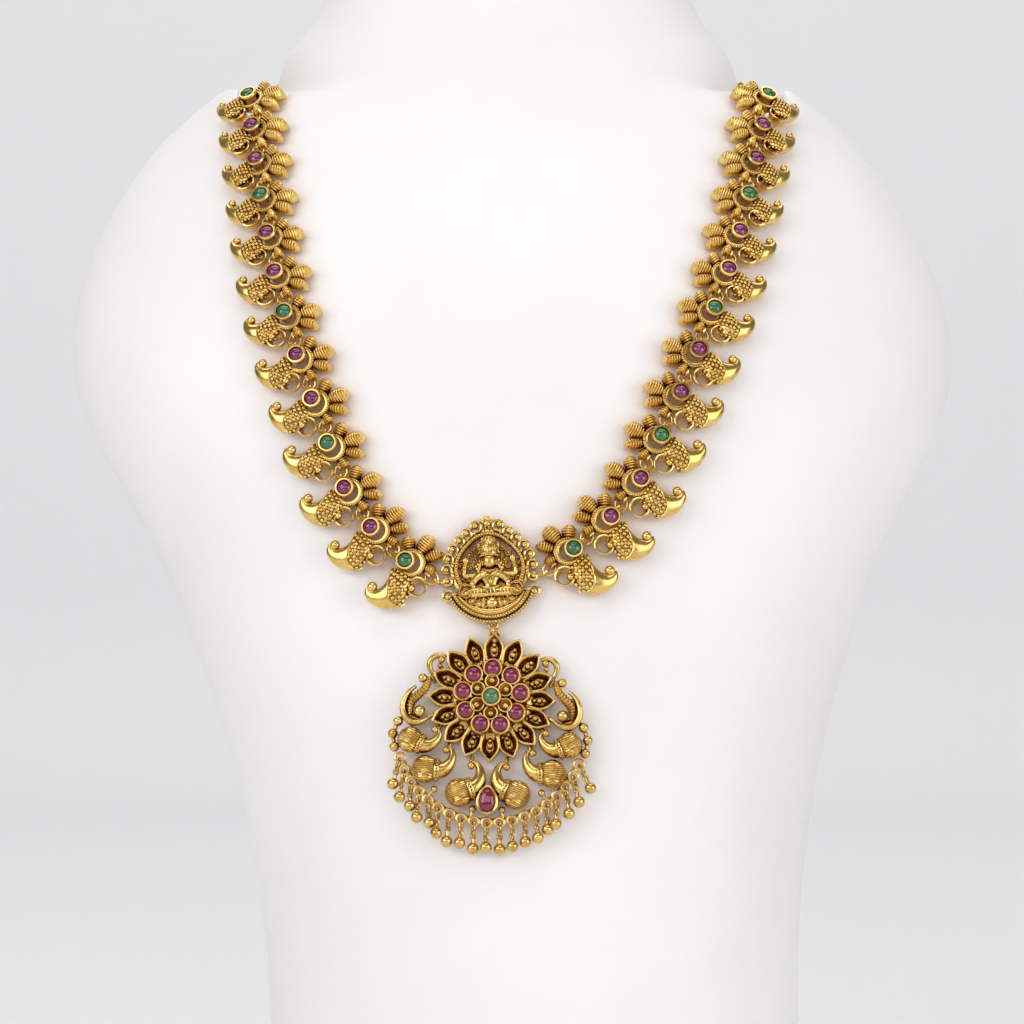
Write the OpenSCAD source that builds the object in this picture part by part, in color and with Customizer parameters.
// Temple jewellery necklace resting on a plain neck bust.
// Millimetres, +Z up. The origin is the middle of the bust's base and the necklace faces -Y.

/* [Bust] */
// Height of the bust from its base to the top of the neck
bust_h = 326; // [312:1:340]
// Width across the shoulders at their widest level
chest_w = 220; // [212:1:230]
// Depth of the bust from its front face to its back
bust_d = 151; // [146:1:156]
// Sideways drift of the foot against the shoulders
foot_drift = 7; // [0:0.5:10]
// Depth of the groove beside the neck that the chain crosses
groove_d = 9.5; // [8.5:0.1:10]

/* [Chain link] */
// Outer radius of a link's open ring
ring_r = 3.35; // [3.1:0.05:3.5]
// Wall of the open ring
ring_wall = 1; // [0.8:0.05:1.2]
// Depth of the open ring from its back to its front edge
ring_depth = 2.2; // [1.8:0.1:2.6]
// Radius of a link's stone
stone_r = 1.66; // [1.4:0.02:1.75]
// Metal wall round a link's stone
bezel_wall = 0.68; // [0.5:0.02:0.8]
// Height of a link's stone cup above its seat
bezel_h = 3.4; // [3:0.1:3.8]
// Length of the largest petal
petal_len = 5.4; // [4.8:0.1:5.6]
// Length of the claw from its root to its outer edge
claw_len = 9.5; // [8.8:0.1:10]
// Radius of the scroll hook under the claw
scroll_r = 2.05; // [1.8:0.05:2.2]
// Height of the petals and scroll above the link's back
deck_h = 2.1; // [2:0.05:2.3]

/* [Joining rings] */
// Radius of a joining ring, to the middle of its wire
jump_r = 1.5; // [1.45:0.01:1.6]
// Wire radius of joining rings and eyelets
wire_r = 0.34; // [0.28:0.01:0.36]
// Radius of an eyelet, to the middle of its wire
eye_r = 0.98; // [0.95:0.01:1.02]

/* [Deity plaque] */
// Radius of the arch behind the seated figure, to the middle of its rim
arch_r = 7.7; // [7.2:0.1:8.2]
// Depth of the plaque from its back to the rim of the arch
plaque_t = 2.6; // [2.2:0.1:3]
// Radius of one scroll of the border
curl_r = 1.25; // [1.1:0.05:1.4]
// Radius of the lug ring under the plaque, to the middle of its wire
lug_r = 1; // [0.98:0.01:1.1]

/* [Main pendant] */
// Radius of the flower, to the tips of its sixteen petals
flower_r = 15; // [14.4:0.1:15.4]
// Radius of the circle of rubies, to the middle of the stones
ruby_ring_r = 6.7; // [6.5:0.05:7]
// Radius of a pendant ruby and of the middle emerald
pendant_stone_r = 1.76; // [1.55:0.02:1.8]
// Thickness of the pendant's back plate
plate_t = 1.4; // [1.1:0.1:1.8]
// Radius of the largest conch body
conch_r = 3.5; // [3.2:0.05:3.7]
// Radius of an edge ball
edge_ball_r = 1.2; // [1:0.05:1.3]
// Radius of the bail, to the middle of its wire
bail_r = 1.35; // [1.3:0.01:1.5]

/* [Ball fringe] */
// Radius of the arc that carries the fringe rings
fringe_r = 22.3; // [22.1:0.1:22.9]
// Radius of a fringe ring, to the middle of its wire
fringe_ring_r = 1.05; // [1:0.01:1.1]
// Radius of a ball drop
drop_r = 1.33; // [1.1:0.01:1.36]
// Length of a drop from its ring's middle to the ball's middle
drop_len = 5.2; // [4.8:0.1:5.6]

/* [Back chain] */
// Radius of a chain ring, to the middle of its wire
chain_r = 2; // [1.9:0.02:2.1]
// Wire radius of a chain ring
chain_wire = 0.48; // [0.4:0.02:0.5]
// Radius of the plain clasp ring, to the middle of its wire
clasp_r = 2.8; // [2.6:0.1:3.2]

/* [Fits] */
// Clearance between the bust and the metal that rests on it
rest_gap = 0.35; // [0.3:0.05:0.6]
// Clearance round a stone in its cup
stone_gap = 0.1; // [0.05:0.01:0.15]
// Clearance between wires that hang in each other
wire_gap = 0.12; // [0.1:0.01:0.15]

/* [Hidden] */
$fn = 24;

gold = [0.80, 0.60, 0.25];
ruby = [0.62, 0.08, 0.32];
emerald = [0.15, 0.45, 0.30];
white = [0.96, 0.95, 0.95];

// Level as a share of bust_h, half width as a share of chest_w / 2, then front and back
// as shares of bust_d measured from the origin
HALF = 1;
FRONT = 2;
BACK = 3;
bust_levels = [
    [0.000, 0.600, -0.497, 0.330],
    [0.138, 0.584, -0.497, 0.345],
    [0.230, 0.603, -0.480, 0.365],
    [0.322, 0.655, -0.444, 0.390],
    [0.414, 0.741, -0.404, 0.420],
    [0.491, 0.832, -0.364, 0.448],
    [0.567, 0.959, -0.321, 0.476],
    [0.629, 1.000, -0.275, 0.490],
    [0.690, 0.968, -0.205, 0.497],
    [0.752, 0.882, -0.123, 0.497],
    [0.798, 0.782, -0.056, 0.492],
    [0.828, 0.673, -0.010, 0.480],
    [0.859, 0.518, 0.023, 0.430],
    [0.908, 0.418, 0.046, 0.405],
    [1.000, 0.385, 0.060, 0.395]];
section_power = 2.3;
widest_level = 0.629;
ring_sides = 40;

// Rings round the neck's root: distance from the neck towards the shoulder as a share of the
// groove's width, rise of the sides as a share of groove_d, level at the front (share of bust_h)
ACROSS = 0;
RISE = 1;
FRONT_LEVEL = 2;
groove_w = 14;
groove_x = 63.8;
groove_rings = [
    [0.62, 0.94, 0.822],
    [0.46, 1.05, 0.826],
    [0.32, 0.84, 0.830],
    [0.16, 0.10, 0.834],
    [-0.14, 0.02, 0.838],
    [-0.32, 0.55, 0.842],
    [-0.38, 1.15, 0.848]];

// Middles of the links on the bust, from the shoulder down to the plaque, as x and z
route_left = [[-63.6, 265], [-61.2, 248.5], [-57.6, 228.5], [-52.6, 208.5], [-45, 187.5],
    [-35.8, 165.5], [-23.2, 152.3]];
route_right = [[61.6, 265], [58.2, 248.5], [53.2, 228.5], [45.6, 207.5], [36.3, 186.5],
    [26.4, 167.5], [13, 154.9]];

// Route of the left half of the back chain, from the first link over the groove to the clasp
route_back = [[-63.8, 22, 268.5], [-63.8, 36, 268], [-62.3, 49, 269.5], [-57.5, 57.8, 275.2],
    [-49, 65, 275.6], [-38, 69.3, 275.2], [-20, 71.6, 276], [0, 72, 276.8]];

link_count = 13;
plaque_x = -5.2;
plaque_z = 151.6;
plaque_turn = 4;
pendant_x = -4.6;
pendant_z = 121;
pendant_turn = -2;

// Smooth value of a table column at t, through the rows on either side
function knot(table, t, i = 0) =
    i >= len(table) - 2 || t < table[i + 1][0] ? i : knot(table, t, i + 1);
function slope(table, col, i) =
    let (a = max(i - 1, 0), b = min(i + 1, len(table) - 1))
    (table[b][col] - table[a][col]) / (table[b][0] - table[a][0]);
function smooth(table, col, t) =
    let (i = knot(table, t),
        h = table[i + 1][0] - table[i][0],
        s = max(0, min(1, (t - table[i][0]) / h)),
        p = table[i][col], q = table[i + 1][col],
        m = slope(table, col, i) * h, k = slope(table, col, i + 1) * h)
    (2 * pow(s, 3) - 3 * s * s + 1) * p + (pow(s, 3) - 2 * s * s + s) * m
        + (3 * s * s - 2 * pow(s, 3)) * q + (pow(s, 3) - s * s) * k;

// Point at share t along a list of points, smoothly through all of them
function along(points, t) =
    let (n = len(points) - 1,
        table = [for (i = [0:n]) concat([i], points[i])])
    [for (c = [1:len(points[0])]) smooth(table, c, t * n)];

function unit(v) = v / norm(v);

// Bust sections
function bust_half(z) = smooth(bust_levels, HALF, z / bust_h) * chest_w / 2;
function bust_front(z) = smooth(bust_levels, FRONT, z / bust_h) * bust_d;
function bust_back(z) = smooth(bust_levels, BACK, z / bust_h) * bust_d;
function bust_shift(z) = foot_drift * max(1 - z / (widest_level * bust_h), -0.15);
function super(t, p) = sign(t) * pow(abs(t), 2 / p);

// Point of the bust's front at x and z, and the direction out of it there
function skin(x, z) =
    let (a = bust_half(z), f = bust_front(z), b = bust_back(z),
        s = min(0.99, abs(x - bust_shift(z)) / a))
    [x, (f + b) / 2 - (b - f) / 2 * pow(1 - pow(s, section_power), 1 / section_power), z];
function skin_normal(x, z, d = 1.5) =
    unit(cross(skin(x + d, z) - skin(x - d, z), skin(x, z + d) - skin(x, z - d)));

// Frame on the bust: origin, then the directions right, up and out
function seat_frame(x, z, lift) =
    let (n = skin_normal(x, z), r = unit(cross([0, 0, 1], n)))
    [skin(x, z) + n * lift, r, cross(n, r), n];

// Solid through rings of points that all have the same count, closed at both ends
module loft(rings) {
    m = len(rings[0]);
    n = len(rings);
    polyhedron(
        points = [for (ring = rings, p = ring) p],
        faces = concat(
            [[for (j = [0:m - 1]) j]],
            [for (i = [0:n - 2], j = [0:m - 1])
                [i * m + j, (i + 1) * m + j, (i + 1) * m + (j + 1) % m, i * m + (j + 1) % m]],
            [[for (j = [m - 1:-1:0]) (n - 1) * m + j]]));
}

// Places children in a frame given as origin and three directions
module placed(f) {
    multmatrix([
        [f[1][0], f[2][0], f[3][0], f[0][0]],
        [f[1][1], f[2][1], f[3][1], f[0][1]],
        [f[1][2], f[2][2], f[3][2], f[0][2]],
        [0, 0, 0, 1]]) children();
}

module torus(radius, wire) {
    rotate_extrude() translate([radius, 0]) circle(wire);
}

// Rod with round ends between two points
module rod(a, b, r) {
    d = b - a;
    translate(a) rotate([0, acos(d[2] / norm(d)), atan2(d[1], d[0])]) cylinder(h = norm(d), r = r);
    translate(b) sphere(r * 1.06);
}

// Bust
function bust_ring(level, half, front_z, side_z) =
    let (z0 = level * bust_h, f = bust_front(z0), b = bust_back(z0))
    [for (j = [0:ring_sides - 1])
        let (t = 360 * j / ring_sides, z = front_z + (side_z - front_z) * pow(cos(t), 4))
        [half * super(cos(t), section_power) + bust_shift(z),
            (f + b) / 2 + (b - f) / 2 * super(sin(t), section_power), z]];

body_levels = [0, 0.06, 0.12, 0.18, 0.24, 0.3, 0.36, 0.42, 0.47, 0.52, 0.56, 0.6, 0.64, 0.68,
    0.71, 0.74, 0.77, 0.795, 0.813];
neck_levels = [0.862, 0.875, 0.89, 0.91, 0.95, 1];
groove_floor = 0.8355 * bust_h - groove_d;
slot_r = 4.6;

// Slot that the chain passes through beside the neck, open upwards
module chain_slot() {
    translate([groove_x, -20, groove_floor + slot_r]) rotate([-90, 0, 0])
        cylinder(h = bust_d, r = slot_r);
    translate([groove_x - slot_r, -20, groove_floor + slot_r]) cube([2 * slot_r, bust_d, 20]);
}

module neck_bust() {
    color(white) difference() {
        loft(concat(
            [for (s = body_levels) bust_ring(s, bust_half(s * bust_h), s * bust_h, s * bust_h)],
            [for (g = groove_rings) bust_ring(g[FRONT_LEVEL], groove_x + g[ACROSS] * groove_w,
                g[FRONT_LEVEL] * bust_h, groove_floor + g[RISE] * groove_d)],
            [for (s = neck_levels) bust_ring(s, bust_half(s * bust_h), s * bust_h, s * bust_h)]));
        chain_slot();
        mirror([1, 0, 0]) chain_slot();
    }
}

// Links are placed at equal steps along their route on the bust
samples = 60;
function route_line(route) =
    [for (i = [0:samples]) let (p = along(route, i / samples)) skin(p[0], p[1])];
function lengths(line, i = 1, sum = [0]) =
    i >= len(line) ? sum
    : lengths(line, i + 1, concat(sum, [sum[i - 1] + norm(line[i] - line[i - 1])]));
function at_length(line, run, s) =
    let (i = max([for (k = [0:len(run) - 2]) run[k] <= s + 0.0001 ? k : 0]),
        t = (s - run[i]) / (run[i + 1] - run[i]))
    line[i] * (1 - t) + line[i + 1] * t;
function link_points(route) =
    let (line = route_line(route), run = lengths(line), pitch = run[samples] / (link_count - 1))
    [for (i = [0:link_count - 1]) at_length(line, run, min(pitch * i, run[samples] - 0.001))];
spots = [link_points(route_left), link_points(route_right)];

// Frame of link i on side 0 (left) or 1 (right): along the chain, away from the neck, out.
// The last link points at the plaque's side eyelet.
function link_frame(side, i) =
    let (p = spots[side], last = i == link_count - 1,
        a = p[last ? i : max(i - 1, 0)], b = last ? side_aim(side) : p[i + 1],
        n = skin_normal(p[i][0], p[i][2]),
        u = unit((b - a) - n * ((b - a) * n)))
    [p[i] + n * rest_gap, u, cross(n, u) * (side == 0 ? -1 : 1), n];

module on_link(side, i) {
    f = link_frame(side, i);
    placed([f[0], f[1], cross(f[3], f[1]), f[3]]) mirror([0, side == 0 ? 1 : 0, 0]) children();
}

pitches = [for (s = [0, 1]) norm(spots[s][1] - spots[s][0])];
eye_u = (pitches[0] + pitches[1]) / 4 - jump_r + wire_gap;
eye_n = eye_r + wire_r + 0.1;
bezel_r = stone_r + bezel_wall;
bezel_u = -0.4 * ring_r;
bezel_v = 0.12 * ring_r;
bezel_foot = 1.1;
cup_depth = 1;
scroll_u = 1.39 * ring_r;
scroll_v = 1.16 * ring_r;
scroll_start = -170;
scroll_turn = 285;
scroll_wall = 0.5;
scroll_depth = 1.6;
scroll_ball_r = 0.75;
ring_foot = 1;
tab_w = 0.7;

// Petals of a link: angle from the chain's direction towards the claw, half width in ring
// radii, length as a share of petal_len
ANGLE = 0;
WIDE = 1;
LONG = 2;
petals = [
    [171, 0.24, 0.56],
    [224, 0.40, 0.80],
    [270, 0.50, 1.00],
    [304, 0.34, 0.86],
    [343, 0.32, 0.62]];
petal_h = 1.5;
petal_root = 0.35;

// Pointed bud with a ridge, lying along X between two heights: share of the length, then
// share of the full section
bud_rows = [[0, 0.5], [0.42, 1], [0.76, 0.7], [1, 0.08]];

module bud(len, half, low, high) {
    loft([for (r = bud_rows)
        let (x = r[0] * len, w = half * r[1], h = (high - low) * r[1], mid = low + h * 0.45)
        [[x, -w * 0.8, low], [x, w * 0.8, low], [x, w, mid], [x, 0, low + h], [x, -w, mid]]]);
}

// Claw sections: place along and across, half width, half depth as shares of claw_len, and
// the turn of the section
ALONG = 0;
OUT = 1;
HALF_W = 2;
HALF_D = 3;
TURN = 4;
claw_rows = [
    [0.06, 0.30, 0.20, 0.11, 0],
    [0.06, 0.42, 0.33, 0.19, 12],
    [0.10, 0.60, 0.42, 0.24, 34],
    [0.03, 0.80, 0.36, 0.22, 48],
    [-0.08, 0.95, 0.26, 0.18, 66],
    [-0.22, 1.04, 0.17, 0.13, 88],
    [-0.35, 1.06, 0.10, 0.10, 108],
    [-0.42, 1.00, 0.07, 0.08, 150]];
claw_mid = 2.35;
claw_sides = 8;

module claw() {
    loft([for (r = claw_rows)
        [for (j = [0:claw_sides - 1])
            let (t = -360 * j / claw_sides,
                w = r[HALF_W] * claw_len * cos(t), d = r[HALF_D] * claw_len * sin(t))
            [r[ALONG] * claw_len + w * cos(r[TURN]), r[OUT] * claw_len + w * sin(r[TURN]),
                claw_mid + d]]]);
}

module eyelet(u) {
    translate([u, 0, eye_n]) rotate([90, 0, 0]) torus(eye_r, wire_r);
}

module link(side, i) {
    color(gold) on_link(side, i) union() {
        translate([0, 0, ring_foot]) rotate_extrude()
            translate([ring_r - ring_wall, 0]) square([ring_wall, ring_depth]);
        difference() {
            translate([bezel_u, bezel_v, bezel_foot]) cylinder(h = bezel_h, r = bezel_r);
            translate([bezel_u, bezel_v, bezel_foot + bezel_h - cup_depth])
                cylinder(h = 2 * cup_depth, r = stone_r + stone_gap);
        }
        for (p = petals) rotate([0, 0, p[ANGLE]]) translate([ring_r - petal_root, 0, 0])
            bud(p[LONG] * petal_len, p[WIDE] * ring_r, deck_h, deck_h + petal_h);
        claw();
        translate([-0.38 * claw_len, 0.92 * claw_len, claw_mid + 0.3]) sphere(0.1 * claw_len);
        translate([scroll_u, scroll_v, deck_h]) rotate([0, 0, scroll_start])
            rotate_extrude(angle = scroll_turn)
            translate([scroll_r - scroll_wall, 0]) square([scroll_wall, scroll_depth]);
        translate([scroll_u, scroll_v, deck_h + scroll_depth / 2])
            rotate([0, 0, scroll_start + scroll_turn + 12])
            translate([scroll_r - 0.7, 0, 0]) sphere(scroll_ball_r);
        for (s = [-1, 1]) {
            eyelet(s * eye_u);
            translate([s > 0 ? ring_r - ring_wall / 2 : -eye_u + eye_r, -tab_w / 2, ring_foot])
                cube([eye_u - eye_r - ring_r + ring_wall / 2, tab_w, 1]);
        }
    }
}

link_is_green = [for (i = [0:link_count - 1]) i % 3 == 0];

module cabochon(r, edge = 0.5) {
    rise = 0.55 * r;
    ball = (r * r + rise * rise) / (2 * rise);
    cylinder(h = edge, r = r);
    translate([0, 0, edge]) intersection() {
        translate([0, 0, rise - ball]) sphere(ball);
        cylinder(h = rise + 1, r = r);
    }
}

module link_stones(side, green) {
    color(green ? emerald : ruby) for (i = [0:link_count - 1]) if (link_is_green[i] == green)
        on_link(side, i) translate([bezel_u, bezel_v, bezel_foot + bezel_h - cup_depth + stone_gap])
            cabochon(stone_r);
}

function eye_point(side, i, s) =
    let (f = link_frame(side, i)) f[0] + f[1] * (s * eye_u) + f[3] * eye_n;

// Ring through two eyelets, flat against the direction given
module joining_ring(a, b, n) {
    u = unit(b - a);
    w = unit(cross(n, u));
    placed([(a + b) / 2, u, w, cross(u, w)]) torus(jump_r, wire_r);
}

// First ring of the back chain, through a link's upper eyelet
module top_joining_ring(side) {
    u = top_direction(side);
    w = unit(cross(link_frame(side, 0)[3], u));
    placed([top_ring(side), u, w, cross(u, w)]) torus(jump_r, wire_r);
}

module joining_rings(side) {
    color(gold) for (i = [0:link_count - 2])
        joining_ring(eye_point(side, i, 1), eye_point(side, i + 1, -1),
            link_frame(side, i)[3] + link_frame(side, i + 1)[3]);
    color(gold) joining_ring(eye_point(side, link_count - 1, 1),
        side_eye(side, eye_u + 2 * (jump_r - wire_gap)),
        link_frame(side, link_count - 1)[3] + plaque_frame[3]);
    color(gold) top_joining_ring(side);
}

// Deity plaque, in a frame whose origin is the arch's centre. Places are shares of arch_r.
plaque_frame = seat_frame(plaque_x, plaque_z, rest_gap);
arch_from = -40;
arch_sweep = 260;
arch_in = 0.97;
arch_out = 1.2;
band_low = -0.375;
band_in = 1.17;
band_out = 1.3;
band_half = 70;
curl_orbit = 1.33;
curl_step = 15;
curl_count = 6;
curl_wall = 0.55;

module at(p, z = 0) {
    translate([p[0] * arch_r, p[1] * arch_r, z]) children();
}

module both() {
    children();
    mirror([1, 0, 0]) children();
}

module plaque_rod(a, b, z, r) {
    rod([a[0] * arch_r, a[1] * arch_r, z], [b[0] * arch_r, b[1] * arch_r, z], r * arch_r);
}

// Scroll of the border with its ball on the outer side
module border_curl(angle, orbit) {
    rotate([0, 0, angle]) translate([orbit * arch_r, 0, 0]) {
        translate([0, 0, 0.5]) difference() {
            cylinder(h = plaque_t - 1.1, r = curl_r);
            translate([0, 0, -1]) cylinder(h = plaque_t + 2, r = curl_r - curl_wall);
        }
        translate([curl_r * 0.62, 0, plaque_t - 1.25]) sphere(curl_r * 0.5);
    }
}

module plaque_frame_work() {
    rotate([0, 0, arch_from]) rotate_extrude(angle = arch_sweep)
        translate([arch_in * arch_r, 0.6]) square([(arch_out - arch_in) * arch_r, plaque_t - 0.8]);
    for (s = [-1, 1], k = [1:curl_count]) border_curl(90 + s * k * curl_step, curl_orbit);
    for (s = [-1, 1]) border_curl(90 + s * 122, 1.56);
    both() plaque_rod([0.80, -0.70], [1.16, -0.82], 1.4, 0.09);
    at([0, 1.36], 1.3) sphere(0.17 * arch_r);
    at([0, 1.53], 1.3) sphere(0.12 * arch_r);
    at([0, band_low]) rotate([0, 0, -90 - band_half]) rotate_extrude(angle = 2 * band_half)
        translate([band_in * arch_r, 0.3]) square([(band_out - band_in) * arch_r, plaque_t + 0.7]);
}

module lotus_seat() {
    intersection() {
        at([0, -0.32], 0.2) cylinder(h = plaque_t - 0.4, r = 1.16 * arch_r);
        translate([-2 * arch_r, -3 * arch_r, 0]) cube([4 * arch_r, 2.1 * arch_r, 10]);
    }
    intersection() {
        at([0, band_low]) cylinder(h = 1.1, r = (band_in + 0.06) * arch_r);
        translate([-2 * arch_r, -3 * arch_r, 0]) cube([4 * arch_r, 2.16 * arch_r, 10]);
    }
    at([0, -1.18], plaque_t - 0.3) sphere(0.18 * arch_r);
    both() at([0.42, -1.16], plaque_t - 0.4) sphere(0.16 * arch_r);
}

// Seated figure with a tall crown, four arms and folded legs
crown_profile = [[0, -0.52], [0.17, -0.45], [0.27, -0.26], [0.31, 0], [0.27, 0.22], [0.17, 0.42],
    [0.08, 0.54], [0, 0.58]];

module figure() {
    z = plaque_t * 0.62;
    intersection() {
        at([0, 0.47], z) rotate([-90, 0, 0]) rotate_extrude()
            polygon([for (p = crown_profile) p * arch_r]);
        translate([-arch_r, -arch_r, back_cut]) cube(2.2 * arch_r);
    }
    plaque_rod([0, -0.16], [0, 0.1], z - 0.2, 0.14);
    at([0, -0.3], z) rotate([90, 0, 0])
        cylinder(h = 0.66 * arch_r, r1 = 0.25 * arch_r, r2 = 0.2 * arch_r);
    both() {
        at([0.12, -0.28], z + 0.9) sphere(0.14 * arch_r);
        plaque_rod([0, -0.24], [0.33, -0.26], z, 0.13);
        plaque_rod([0.33, -0.26], [0.56, -0.52], z, 0.1);
        at([0.53, -0.58], z + 0.5) sphere(0.15 * arch_r);
        plaque_rod([0.33, -0.24], [0.78, -0.3], z - 0.3, 0.085);
        plaque_rod([0.78, -0.3], [0.72, 0.16], z - 0.3, 0.08);
        at([0.72, 0.24], z) sphere(0.14 * arch_r);
        plaque_rod([0.72, 0.24], [0.99, 0.3], 1.2, 0.05);
        plaque_rod([0.78, -0.3], [1.02, -0.36], 1.2, 0.05);
        plaque_rod([0.53, -0.6], [0.6, -0.86], z - 0.2, 0.1);
        plaque_rod([0.7, -0.88], [0.06, -0.98], z + 0.5, 0.17);
    }
    plaque_rod([0, 0.9], [0, 1.3], 1.3, 0.12);
}

module lug() {
    translate([0, -lug_drop, lug_n]) torus(lug_r, wire_r);
    translate([0, -lug_drop + lug_r + 0.1, lug_n]) sphere(0.45);
}

lug_n = 1.5;
lug_drop = (band_out - band_low) * arch_r + lug_r * 0.95;

module on_plaque() {
    placed(plaque_frame) rotate([0, 0, plaque_turn]) children();
}

module deity_plaque() {
    color(gold) union() {
        on_plaque() {
            plaque_frame_work();
            lotus_seat();
            figure();
            lug();
        }
        for (s = [0, 1]) side_eyelet(s);
    }
}

// Eyelets at the plaque's sides, one joining ring past the last links
side_spread = 104;
eye_bar = 0.4;
function on_frame(f, p) = f[0] + f[1] * p[0] + f[2] * p[1] + f[3] * p[2];
function side_aim(side, reach = 1.6 * arch_r, n = 0) =
    let (a = 90 + side_spread * (side == 0 ? 1 : -1) + plaque_turn)
    on_frame(plaque_frame, [reach * cos(a), reach * sin(a), n]);
function side_eye(side, reach) =
    let (f = link_frame(side, link_count - 1)) f[0] + f[1] * reach + f[3] * eye_n;

module side_eyelet(side) {
    f = link_frame(side, link_count - 1);
    reach = eye_u + 2 * (jump_r - wire_gap);
    placed([f[0], f[1], cross(f[3], f[1]), f[3]]) eyelet(reach);
    rod(side_aim(side, arch_out * arch_r - eye_bar, eye_n), side_eye(side, reach + eye_r), eye_bar);
}

// Joint of the pendant: middle of the lug's lowest wire
function turned(p, a) = [p[0] * cos(a) - p[1] * sin(a), p[0] * sin(a) + p[1] * cos(a), p[2]];
joint_point = on_frame(plaque_frame, turned([0, -lug_drop - lug_r, lug_n], plaque_turn));

// Main pendant, in a frame whose origin is the flower's centre
pendant_frame = seat_frame(pendant_x, pendant_z, rest_gap);
function in_pendant(p) =
    let (d = p - pendant_frame[0])
    turned([d * pendant_frame[1], d * pendant_frame[2], d * pendant_frame[3]], -pendant_turn);
bail_mid = in_pendant(joint_point) + [0, wire_r * 2 + wire_gap - bail_r, 0];

module on_pendant() {
    placed(pendant_frame) rotate([0, 0, pendant_turn]) children();
}

petal_count = 16;
ruby_count = 9;
flower_h = 2.7;
cup_wall = 0.5;
ruby_top = 4.9;
emerald_top = 6.2;

// Outline of a flower petal as shares of flower_r along and across
petal_outline = [[0.4, 0.04], [0.62, 0.13], [0.78, 0.155], [0.9, 0.1], [1, 0]];

module petal_shape(inset) {
    side = [for (p = petal_outline)
        [(p[0] - 0.72) * (1 - inset) + 0.72, p[1] * (1 - 2.2 * inset)] * flower_r];
    polygon(concat(side, [for (i = [len(side) - 2:-1:0]) [side[i][0], -side[i][1]]]));
}

module flower() {
    linear_extrude(plate_t) {
        circle(0.66 * flower_r);
        for (i = [0:petal_count - 1]) rotate([0, 0, 90 + 360 * i / petal_count]) petal_shape(0);
    }
    translate([0, 0, plate_t]) linear_extrude(flower_h - plate_t) difference() {
        for (i = [0:petal_count - 1]) rotate([0, 0, 90 + 360 * i / petal_count]) petal_shape(0);
        for (i = [0:petal_count - 1]) rotate([0, 0, 90 + 360 * i / petal_count]) petal_shape(0.13);
    }
    translate([0, 0, plate_t - 0.5]) cylinder(h = 2, r = 0.52 * flower_r);
}

module cup(r, top) {
    difference() {
        translate([0, 0, plate_t]) cylinder(h = top - plate_t, r = r + cup_wall);
        translate([0, 0, top - cup_depth]) cylinder(h = cup_depth + 1, r = r + stone_gap);
    }
}

module ruby_spots() {
    for (i = [0:ruby_count - 1]) rotate([0, 0, 90 + 360 * i / ruby_count])
        translate([ruby_ring_r, 0, 0]) children();
}

// Conches: distance from the flower's centre in flower_r, angle below the horizontal, size as
// a share of conch_r
conches = [[1.416, 29.2, 0.9], [1.508, 49.3, 0.96], [1.555, 73.6, 1]];
conch_n = 2.2;
back_cut = 0.15;
stem = [3, 1.2, 1.5];
// Horn of a conch round its body: distance in conch_r, angle from the direction to the
// flower, radius in conch_r
horn_rows = [[0.5, -52, 0.72], [1.05, -46, 0.6], [1.45, -34, 0.47], [1.76, -22, 0.34],
    [2.0, -12, 0.22], [2.12, -3, 0.12]];
horn_sides = 8;

// Round tube along flat points, each with its radius
module tube(points, radii, z, sides) {
    n = len(points) - 1;
    loft([for (i = [0:n])
        let (t = unit(points[min(i + 1, n)] - points[max(i - 1, 0)]), s = [-t[1], t[0]])
        [for (j = [0:sides - 1]) let (a = 360 * j / sides)
            [points[i][0] + s[0] * cos(a) * radii[i], points[i][1] + s[1] * cos(a) * radii[i],
                z + sin(a) * radii[i]]]]);
}

module conch(c) {
    size = c[2] * conch_r;
    rotate([0, 0, -c[1]]) translate([c[0] * flower_r, 0, 0]) {
        intersection() {
            translate([0, 0, conch_n]) sphere(size);
            translate([-size - 1, -size - 1, back_cut]) cube(2 * size + 2);
        }
        tube([for (h = horn_rows) size * h[0] * [cos(180 - h[1]), sin(180 - h[1])]],
            [for (h = horn_rows) size * h[2]], conch_n, horn_sides);
        translate([-2 * size, 0.12 * size, conch_n - 0.5]) sphere(0.26 * size);
        translate([-2 * size - 0.8 * stem[0], -stem[1] / 2, 0.3]) cube(stem);
    }
}

// Arc of round wire
module arc(p, radius, from, sweep, wire, z) {
    translate([p[0], p[1], z]) rotate([0, 0, from]) rotate_extrude(angle = sweep)
        translate([radius, 0]) circle(wire);
}

// Side scroll like a bird's neck over a crescent, with a hook above, on the right. Arcs: middle
// (x, y), radius and wire radius in flower_r, start and sweep in degrees, height in mm
scroll_arcs = [
    [1.15, -0.17, 0.20, 0.052, -130, 250, 1.6],
    [1.36, 0.13, 0.33, 0.050, 145, 70, 2.2],
    [0.85, 0.50, 0.14, 0.040, -70, 250, 1.6]];
// Balls on the scroll: middle (x, y) in flower_r, height in mm, radius in edge_ball_r
scroll_balls = [
    [1.06, 0.30, 2.2, 0.85],
    [1.07, -0.24, 2.4, 1.20],
    [0.90, 0.53, 1.9, 0.80]];

module side_scroll() {
    for (a = scroll_arcs) arc([a[0], a[1]] * flower_r, a[2] * flower_r, a[4], a[5],
        a[3] * flower_r, a[6]);
    for (b = scroll_balls) translate([b[0] * flower_r, b[1] * flower_r, b[2]])
        sphere(b[3] * edge_ball_r);
}

// Point at a distance in flower_r and an angle below the horizontal
function below(spot, n) = concat(spot[0] * flower_r * [cos(-spot[1]), sin(-spot[1])], n);
edge_balls = [[1.5, 15.5], [1.63, 21.5], [1.69, 28.5]];
small_balls = [[1.67, 60.1], [1.748, 82.5]];
edge_path = concat([[1.347, 11.6]], edge_balls, [[1.42, 29]]);
edge_n = 1.5;
edge_rod_r = 0.5;

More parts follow.
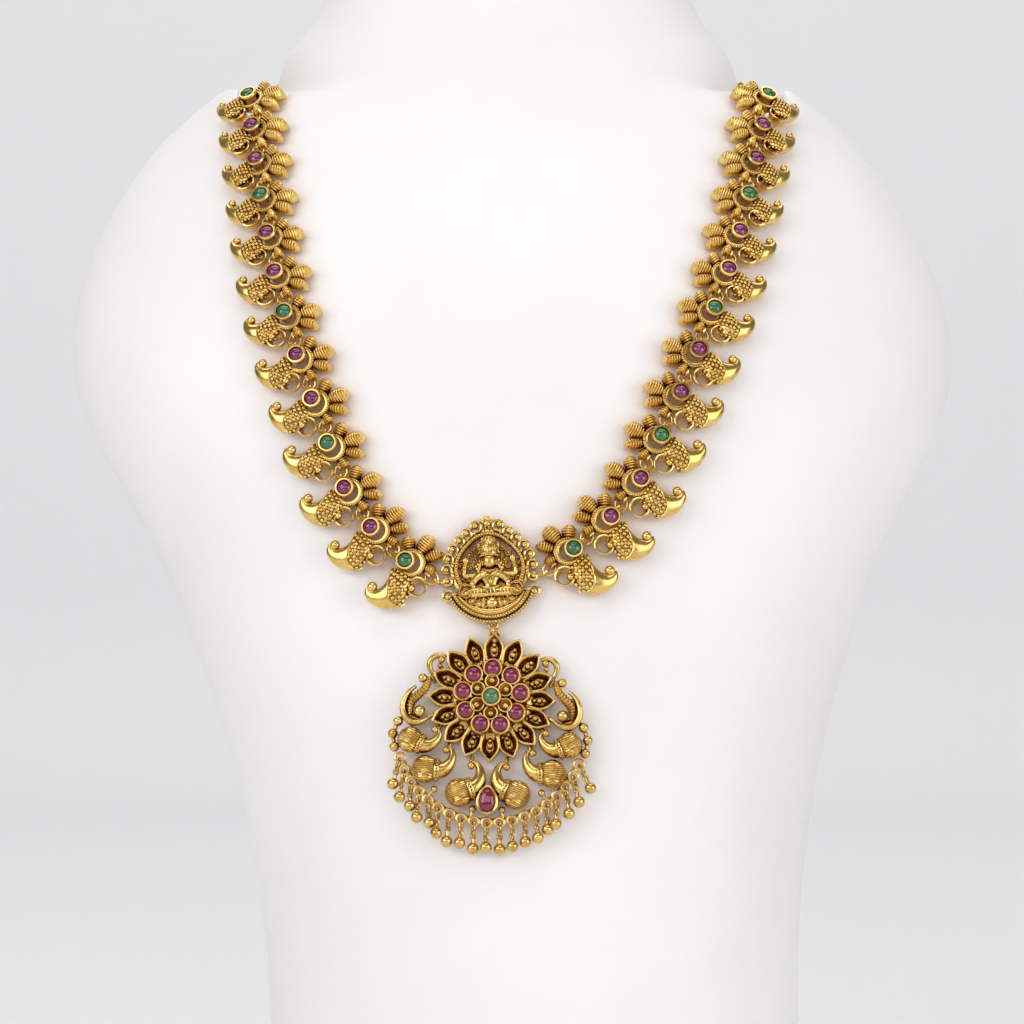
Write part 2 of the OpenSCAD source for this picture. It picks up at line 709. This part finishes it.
module edge_work() {
    for (b = edge_balls) translate(below(b, edge_n)) sphere(edge_ball_r);
    for (b = small_balls) translate(below(b, edge_n)) sphere(0.7 * edge_ball_r);
    for (i = [1:len(edge_path) - 1])
        rod(below(edge_path[i - 1], edge_n - 0.2), below(edge_path[i], edge_n - 0.2), edge_rod_r);
}

// Fringe rings stand on an arc below the flower
fringe_mid = -0.453 * flower_r;
fringe_count = 19;
fringe_half = 69.5;
fringe_n = 1.6;
fringe_deep = 0.5;
rail_w = 1.55;
rail_t = 1;
function fringe_angle(i) = -90 - fringe_half + 2 * fringe_half * i / (fringe_count - 1);
function fringe_spot(i) = [fringe_r * cos(fringe_angle(i)), fringe_mid + fringe_r * sin(fringe_angle(i))];
fringe_wire = (2 * fringe_r * sin(fringe_half / (fringe_count - 1)) - 2 * fringe_ring_r) / 2 + 0.06;

module fringe_rail() {
    for (i = [0:fringe_count - 1]) translate([fringe_spot(i)[0], fringe_spot(i)[1],
        fringe_n - fringe_deep / 2])
        rotate_extrude() translate([fringe_ring_r - fringe_wire, 0])
        square([2 * fringe_wire, fringe_deep]);
    translate([0, fringe_mid, 0.9]) rotate([0, 0, -90 - fringe_half + 3])
        rotate_extrude(angle = 2 * fringe_half - 6)
        translate([fringe_r - fringe_ring_r - fringe_wire - 1.3, 0]) square([rail_w, rail_t]);
}

oval_y = -1.6 * flower_r;
oval_h = 3.2;
oval_half = [0.125 * flower_r, 0.185 * flower_r];
module oval(grow) {
    polygon([for (i = [0:19]) let (a = 18 * i)
        [(oval_half[0] + grow) * cos(a) * (1 - 0.12 * sin(a)), (oval_half[1] + grow) * sin(a)]]);
}

module pendant_plate() {
    color(gold) on_pendant() union() {
        flower();
        ruby_spots() cup(pendant_stone_r, ruby_top);
        cup(pendant_stone_r, emerald_top);
        for (i = [0:5]) rotate([0, 0, 30 + 60 * i]) translate([0.245 * flower_r, 0, ruby_top - 1.4])
            sphere(0.072 * flower_r);
        for (m = [0, 1]) mirror([m, 0, 0]) {
            for (c = conches) conch(c);
            side_scroll();
            edge_work();
        }
        fringe_rail();
        translate([0, oval_y, 0.6]) difference() {
            linear_extrude(oval_h) oval(cup_wall + stone_gap);
            translate([0, 0, oval_h - cup_depth]) linear_extrude(2 * cup_depth) oval(stone_gap);
        }
        translate(bail_mid) rotate([0, 90, 0]) torus(bail_r, wire_r);
        translate([0, 0.93 * flower_r, plate_t * 0.7]) sphere(0.9);
        rod([0, 0.93 * flower_r, 1], bail_mid + [0, -bail_r, 0], 0.4);
    }
}

module pendant_rubies() {
    color(ruby) on_pendant() ruby_spots()
        translate([0, 0, ruby_top - cup_depth + stone_gap]) cabochon(pendant_stone_r, 0.7);
}

module pendant_emerald() {
    color(emerald) on_pendant() translate([0, 0, emerald_top - cup_depth + stone_gap])
        cabochon(pendant_stone_r, 0.7);
}

module ruby_oval() {
    color(ruby) on_pendant() translate([0, oval_y, 0.6 + oval_h - cup_depth + stone_gap]) {
        linear_extrude(0.8) oval(0);
        translate([0, 0, 0.8]) linear_extrude(0.5) oval(-0.6);
    }
}

// Drops hang from the fringe rings and splay outwards towards the ends of the row
drop_splay = 0.42;
drop_loop_r = 0.95;
drop_wire = 0.3;

module ball_drop(i) {
    loop_y = -fringe_ring_r + fringe_wire + drop_wire + 1.3 * wire_gap - drop_loop_r;
    translate([fringe_spot(i)[0], fringe_spot(i)[1], fringe_n])
        rotate([0, 0, (fringe_angle(i) + 90) * drop_splay]) {
            translate([0, loop_y, 0]) rotate([0, 90, 0]) torus(drop_loop_r, drop_wire);
            translate([0, loop_y - drop_loop_r, 0]) rotate([90, 0, 0])
                cylinder(h = drop_len + loop_y - drop_loop_r, r = 0.42);
            translate([0, -drop_len, 0]) sphere(drop_r);
        }
}

module ball_drops() {
    color(gold) on_pendant() for (i = [0:fringe_count - 1]) ball_drop(i);
}

// Back chain: a joining ring at the first link, then rings at equal steps to the clasp
chain_step = 2 * (chain_r - chain_wire) - wire_gap;
chain_lead = jump_r - wire_r + chain_r - chain_wire - wire_gap;
clasp_wire = 0.7;
clasp_reach = clasp_r - clasp_wire + chain_r - chain_wire - wire_gap;
function back_spot(side, i) =
    [route_back[i][0] * (side == 0 ? 1 : -1), route_back[i][1], route_back[i][2]];
function top_direction(side) = unit(back_spot(side, 0) - eye_point(side, 0, -1));
function top_ring(side) = eye_point(side, 0, -1) + top_direction(side) * (jump_r - wire_gap);
clasp_spot = back_spot(0, len(route_back) - 1);
function back_points(side) =
    concat([top_ring(side)], [for (i = [0:len(route_back) - 2]) back_spot(side, i)],
        [clasp_spot + [side == 0 ? -clasp_reach : clasp_reach, 0, 0]]);
back_samples = 120;
function back_line(side) =
    let (p = back_points(side)) [for (i = [0:back_samples]) along(p, i / back_samples)];

// Reference direction away from the bust for a point of the back chain
neck_y = 36;
function back_out(p) = unit(unit([p[0], p[1] - neck_y, 0]) + [0, 0, 1]);

// Turn of ring k about the chain: upright and flat in turn, leaning over after a few rings
chain_lean = 45;
function ring_turn(k) = 90 * ((k + 1) % 2) + chain_lean * min(1, k / 6);
function ring_steps(length) = 2 * ceil((length - chain_lead) / chain_step / 2);

module back_chain(side) {
    line = back_line(side);
    run = lengths(line);
    count = ring_steps(run[back_samples]);
    step = (run[back_samples] - chain_lead) / count;
    color(gold) for (k = [0:count]) {
        s = min(chain_lead + step * k, run[back_samples] - 0.001);
        p = at_length(line, run, s);
        d = unit(at_length(line, run, min(s + 0.5, run[back_samples] - 0.001))
            - at_length(line, run, s - 0.5));
        o = unit(back_out(p) - d * (back_out(p) * d));
        placed([p, d, cross(o, d), o])
            rotate([ring_turn(k) * (side == 0 ? 1 : -1), 0, 0]) torus(chain_r, chain_wire);
    }
}

module clasp_ring() {
    o = back_out(clasp_spot);
    d = [1, 0, 0];
    color(gold) placed([clasp_spot, d, cross(o, d), o]) rotate([chain_lean, 0, 0])
        torus(clasp_r, clasp_wire);
}

neck_bust();
for (i = [0:link_count - 1]) {
    label = i < 9 ? str("0", i + 1) : str(i + 1);
    link(0, i);
    link(1, i);
}
link_stones(0, false);  // rubies_left
link_stones(1, false);  // rubies_right
link_stones(0, true);  // emeralds_left
link_stones(1, true);  // emeralds_right
joining_rings(0);  // joining_rings_left
joining_rings(1);  // joining_rings_right
deity_plaque();
pendant_plate();
pendant_rubies();
pendant_emerald();
ruby_oval();
ball_drops();
back_chain(0);  // back_chain_left
back_chain(1);  // back_chain_right
clasp_ring();
